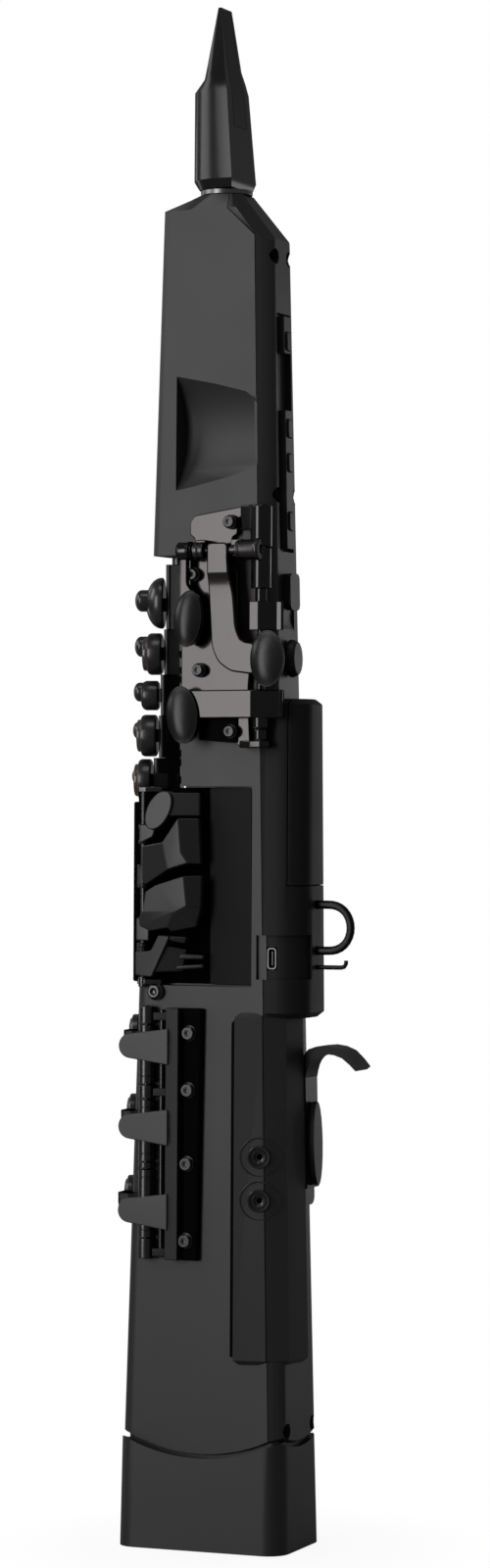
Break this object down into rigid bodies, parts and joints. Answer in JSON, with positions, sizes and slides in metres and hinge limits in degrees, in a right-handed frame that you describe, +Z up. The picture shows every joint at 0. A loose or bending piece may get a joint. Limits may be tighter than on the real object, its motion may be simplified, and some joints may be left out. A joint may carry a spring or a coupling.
{
  "type": "digital wind controller",
  "caption": "Straight digital wind controller with saxophone-style keys, mouthpiece, thumb hook, strap ring, battery bulge and speaker bell.",
  "frame": {"origin": "centre of the bounding box in X and Y, on the plane of the bell rim that the instrument stands on", "axes": "+Z up the instrument to the mouthpiece, -Y towards the key side, +Y towards the thumb side, +X to the player's left"},
  "size_m": [0.0574, 0.1157, 0.699],
  "materials": {
    "body_plastic": "fine satin",
    "bell_plastic": "satin",
    "speaker_metal": "satin black",
    "neck_plastic": "satin",
    "ring_metal": "brushed",
    "cork": "matte cork",
    "mouthpiece_resin": "polished",
    "reed_plastic": "satin",
    "board": "solder mask",
    "sensor_plastic": "satin",
    "tray_plastic": "moulded",
    "cell_sleeve": "printed sleeve without text",
    "port_steel": "bright",
    "jack_plastic": "moulded",
    "ring_wire": "black nickel",
    "rod_metal": "black nickel satin",
    "guard_plastic": "semi gloss",
    "hook_plastic": "gloss",
    "key_plastic": "semi gloss",
    "side_key_plastic": "semi gloss",
    "control_plastic": "satin"
  },
  "bodies": {
    "instrument_body": {"front_shell": "body_plastic", "rear_shell": "body_plastic", "bell": "bell_plastic", "speaker": "speaker_metal", "neck_tenon": "neck_plastic", "neck_ring": "ring_metal", "neck_cork": "cork", "circuit_board": "board", "breath_sensor": "sensor_plastic", "battery_tray": "tray_plastic", "battery_cell_1": "cell_sleeve", "battery_cell_2": "cell_sleeve", "battery_cell_3": "cell_sleeve", "battery_cell_4": "cell_sleeve", "usb_port": "port_steel", "headphone_jack": "jack_plastic", "aux_jack": "jack_plastic", "strap_ring": "ring_wire", "cable_hook": "ring_wire", "thumb_hook_plate": "rod_metal", "thumb_hook_screw": "hook_plastic", "upper_key_rod": "rod_metal", "palm_key_plate": "rod_metal", "palm_key_rod": "rod_metal", "pinky_key_rod": "rod_metal", "side_plate": "rod_metal", "guard_strip": "guard_plastic", "lower_key_rod": "rod_metal", "right_key_rod": "rod_metal"},
    "palm_e_flat_key": {"palm_e_flat_key": "side_key_plastic"},
    "palm_d_key": {"palm_d_key": "side_key_plastic"},
    "palm_f_key": {"palm_f_key": "side_key_plastic"},
    "g_sharp_key": {"g_sharp_key": "side_key_plastic"},
    "low_c_sharp_key": {"low_c_sharp_key": "side_key_plastic"},
    "low_b_key": {"low_b_key": "side_key_plastic"},
    "low_b_flat_key": {"low_b_flat_key": "side_key_plastic"},
    "f_key": {"f_key": "key_plastic"},
    "e_key": {"e_key": "key_plastic"},
    "d_key": {"d_key": "key_plastic"},
    "front_f_key": {"front_f_key": "key_plastic"},
    "b_key": {"b_key": "key_plastic"},
    "b_flat_bis_key": {"b_flat_bis_key": "key_plastic"},
    "a_key": {"a_key": "key_plastic"},
    "g_key": {"g_key": "key_plastic"},
    "side_e_key": {"side_e_key": "side_key_plastic"},
    "side_c_key": {"side_c_key": "side_key_plastic"},
    "side_b_flat_key": {"side_b_flat_key": "side_key_plastic"},
    "low_e_flat_key": {"low_e_flat_key": "side_key_plastic"},
    "low_c_key": {"low_c_key": "side_key_plastic"},
    "octave_key": {"octave_key": "control_plastic"},
    "thumb_controller": {"thumb_controller": "control_plastic"},
    "power_button": {"power_button": "control_plastic"},
    "minus_button": {"minus_button": "control_plastic"},
    "plus_button": {"plus_button": "control_plastic"},
    "select_button": {"select_button": "control_plastic"},
    "thumb_hook": {"thumb_hook": "hook_plastic"},
    "mouthpiece": {"mouthpiece": "mouthpiece_resin", "reed": "reed_plastic"},
    "battery_cover": {"battery_cover": "body_plastic"}
  },
  "joints": [
    {"name": "palm_e_flat_key_hinge", "type": "hinge", "parent": "instrument_body", "child": "palm_e_flat_key", "pos_m": [0.02106, -0.01667, 0.45113], "axis": [0.0745, 0.9972, 0.0011], "range_deg": [0, 3.5], "stiffness_Nm_per_rad": 0.08, "springref_deg": -8.59},
    {"name": "palm_d_key_hinge", "type": "hinge", "parent": "instrument_body", "child": "palm_d_key", "pos_m": [0.02308, 0.01041, 0.45115], "axis": [0.0745, 0.9972, 0.0011], "range_deg": [0, 2.2], "stiffness_Nm_per_rad": 0.08, "springref_deg": -8.59},
    {"name": "palm_f_key_hinge", "type": "hinge", "parent": "instrument_body", "child": "palm_f_key", "pos_m": [0.018, 0.01806, 0.37712], "axis": [0.0144, 0, -0.9999], "range_deg": [0, 4], "stiffness_Nm_per_rad": 0.08, "springref_deg": -8.59},
    {"name": "g_sharp_key_hinge", "type": "hinge", "parent": "instrument_body", "child": "g_sharp_key", "pos_m": [0.01374, -0.0432, 0.33404], "axis": [-0.0144, 0, 0.9999], "range_deg": [0, 5], "stiffness_Nm_per_rad": 0.08, "springref_deg": -8.59},
    {"name": "low_c_sharp_key_hinge", "type": "hinge", "parent": "instrument_body", "child": "low_c_sharp_key", "pos_m": [0.01401, -0.0432, 0.31541], "axis": [-0.0144, 0, 0.9999], "range_deg": [0, 5], "stiffness_Nm_per_rad": 0.08, "springref_deg": -8.59},
    {"name": "low_b_key_hinge", "type": "hinge", "parent": "instrument_body", "child": "low_b_key", "pos_m": [0.01431, -0.0432, 0.29453], "axis": [-0.0144, 0, 0.9999], "range_deg": [0, 5], "stiffness_Nm_per_rad": 0.08, "springref_deg": -8.59},
    {"name": "low_b_flat_key_hinge", "type": "hinge", "parent": "instrument_body", "child": "low_b_flat_key", "pos_m": [0.01464, -0.0432, 0.2721], "axis": [-0.0144, 0, 0.9999], "range_deg": [0, 5], "stiffness_Nm_per_rad": 0.08, "springref_deg": -8.59},
    {"name": "f_key_hinge", "type": "hinge", "parent": "instrument_body", "child": "f_key", "pos_m": [0.01552, -0.03799, 0.23093], "axis": [0.0144, 0, -0.9999], "range_deg": [0, 3.2], "stiffness_Nm_per_rad": 0.08, "springref_deg": -8.59},
    {"name": "e_key_hinge", "type": "hinge", "parent": "instrument_body", "child": "e_key", "pos_m": [0.01605, -0.03799, 0.19443], "axis": [0.0144, 0, -0.9999], "range_deg": [0, 3.2], "stiffness_Nm_per_rad": 0.08, "springref_deg": -8.59},
    {"name": "d_key_hinge", "type": "hinge", "parent": "instrument_body", "child": "d_key", "pos_m": [0.01659, -0.03799, 0.15693], "axis": [0.0144, 0, -0.9999], "range_deg": [0, 3.2], "stiffness_Nm_per_rad": 0.08, "springref_deg": -8.59},
    {"name": "front_f_key_hinge", "type": "hinge", "parent": "instrument_body", "child": "front_f_key", "pos_m": [-0.01142, -0.03534, 0.428], "axis": [0, 0, 1], "range_deg": [0, 5.6], "stiffness_Nm_per_rad": 0.08, "springref_deg": -8.59},
    {"name": "b_key_hinge", "type": "hinge", "parent": "instrument_body", "child": "b_key", "pos_m": [-0.01142, -0.03534, 0.4056], "axis": [0, 0, 1], "range_deg": [0, 5.6], "stiffness_Nm_per_rad": 0.08, "springref_deg": -8.59},
    {"name": "b_flat_bis_key_hinge", "type": "hinge", "parent": "instrument_body", "child": "b_flat_bis_key", "pos_m": [-0.01142, -0.03534, 0.3866], "axis": [0, 0, 1], "range_deg": [0, 5.6], "stiffness_Nm_per_rad": 0.08, "springref_deg": -8.59},
    {"name": "a_key_hinge", "type": "hinge", "parent": "instrument_body", "child": "a_key", "pos_m": [-0.01142, -0.03534, 0.3682], "axis": [0, 0, 1], "range_deg": [0, 5.6], "stiffness_Nm_per_rad": 0.08, "springref_deg": -8.59},
    {"name": "g_key_hinge", "type": "hinge", "parent": "instrument_body", "child": "g_key", "pos_m": [-0.01142, -0.03534, 0.3478], "axis": [0, 0, 1], "range_deg": [0, 5.6], "stiffness_Nm_per_rad": 0.08, "springref_deg": -8.59},
    {"name": "side_e_key_hinge", "type": "hinge", "parent": "instrument_body", "child": "side_e_key", "pos_m": [-0.02298, -0.01815, 0.31806], "axis": [-0.0144, 0, -0.9999], "range_deg": [0, 6], "stiffness_Nm_per_rad": 0.08, "springref_deg": -8.59},
    {"name": "side_c_key_hinge", "type": "hinge", "parent": "instrument_body", "child": "side_c_key", "pos_m": [-0.02339, -0.01815, 0.29006], "axis": [-0.0144, 0, -0.9999], "range_deg": [0, 6], "stiffness_Nm_per_rad": 0.08, "springref_deg": -8.59},
    {"name": "side_b_flat_key_hinge", "type": "hinge", "parent": "instrument_body", "child": "side_b_flat_key", "pos_m": [-0.02379, -0.01815, 0.26207], "axis": [-0.0144, 0, -0.9999], "range_deg": [0, 6], "stiffness_Nm_per_rad": 0.08, "springref_deg": -8.59},
    {"name": "low_e_flat_key_hinge", "type": "hinge", "parent": "instrument_body", "child": "low_e_flat_key", "pos_m": [-0.02573, -0.01815, 0.12807], "axis": [0.0144, 0, 0.9999], "range_deg": [0, 6], "stiffness_Nm_per_rad": 0.08, "springref_deg": -8.59},
    {"name": "low_c_key_hinge", "type": "hinge", "parent": "instrument_body", "child": "low_c_key", "pos_m": [-0.02601, -0.01815, 0.10807], "axis": [0.0144, 0, 0.9999], "range_deg": [0, 6], "stiffness_Nm_per_rad": 0.08, "springref_deg": -8.59},
    {"name": "octave_key_hinge", "type": "hinge", "parent": "instrument_body", "child": "octave_key", "pos_m": [-0.00292, 0.02389, 0.43943], "axis": [-1, 0, 0], "range_deg": [0, 2], "stiffness_Nm_per_rad": 0.05, "springref_deg": -5.73},
    {"name": "thumb_controller_hinge", "type": "hinge", "parent": "instrument_body", "child": "thumb_controller", "pos_m": [-0.00292, 0.02329, 0.40281], "axis": [1, 0, 0], "range_deg": [-3, 3], "stiffness_Nm_per_rad": 0.05},
    {"name": "power_button_press", "type": "slide", "parent": "instrument_body", "child": "power_button", "axis": [0, -0.9999, -0.0163], "range_m": [0, 0.0003], "stiffness_N_per_m": 600, "springref_m": -0.001},
    {"name": "minus_button_press", "type": "slide", "parent": "instrument_body", "child": "minus_button", "axis": [0, -0.9999, -0.0163], "range_m": [0, 0.0003], "stiffness_N_per_m": 600, "springref_m": -0.001},
    {"name": "plus_button_press", "type": "slide", "parent": "instrument_body", "child": "plus_button", "axis": [0, -0.9999, -0.0163], "range_m": [0, 0.0003], "stiffness_N_per_m": 600, "springref_m": -0.001},
    {"name": "select_button_press", "type": "slide", "parent": "instrument_body", "child": "select_button", "axis": [0, -0.9999, -0.0163], "range_m": [0, 0.0003], "stiffness_N_per_m": 600, "springref_m": -0.001},
    {"name": "thumb_hook_slide", "type": "slide", "parent": "instrument_body", "child": "thumb_hook", "axis": [0, -0.0163, 0.9999], "range_m": [-0.006, 0.006]},
    {"name": "mouthpiece_pull", "type": "slide", "parent": "instrument_body", "child": "mouthpiece", "axis": [0, 0, 1], "range_m": [0, 0.03]},
    {"name": "battery_cover_lift", "type": "slide", "parent": "instrument_body", "child": "battery_cover", "axis": [0, 1, 0], "range_m": [0, 0.04]}
  ]
}
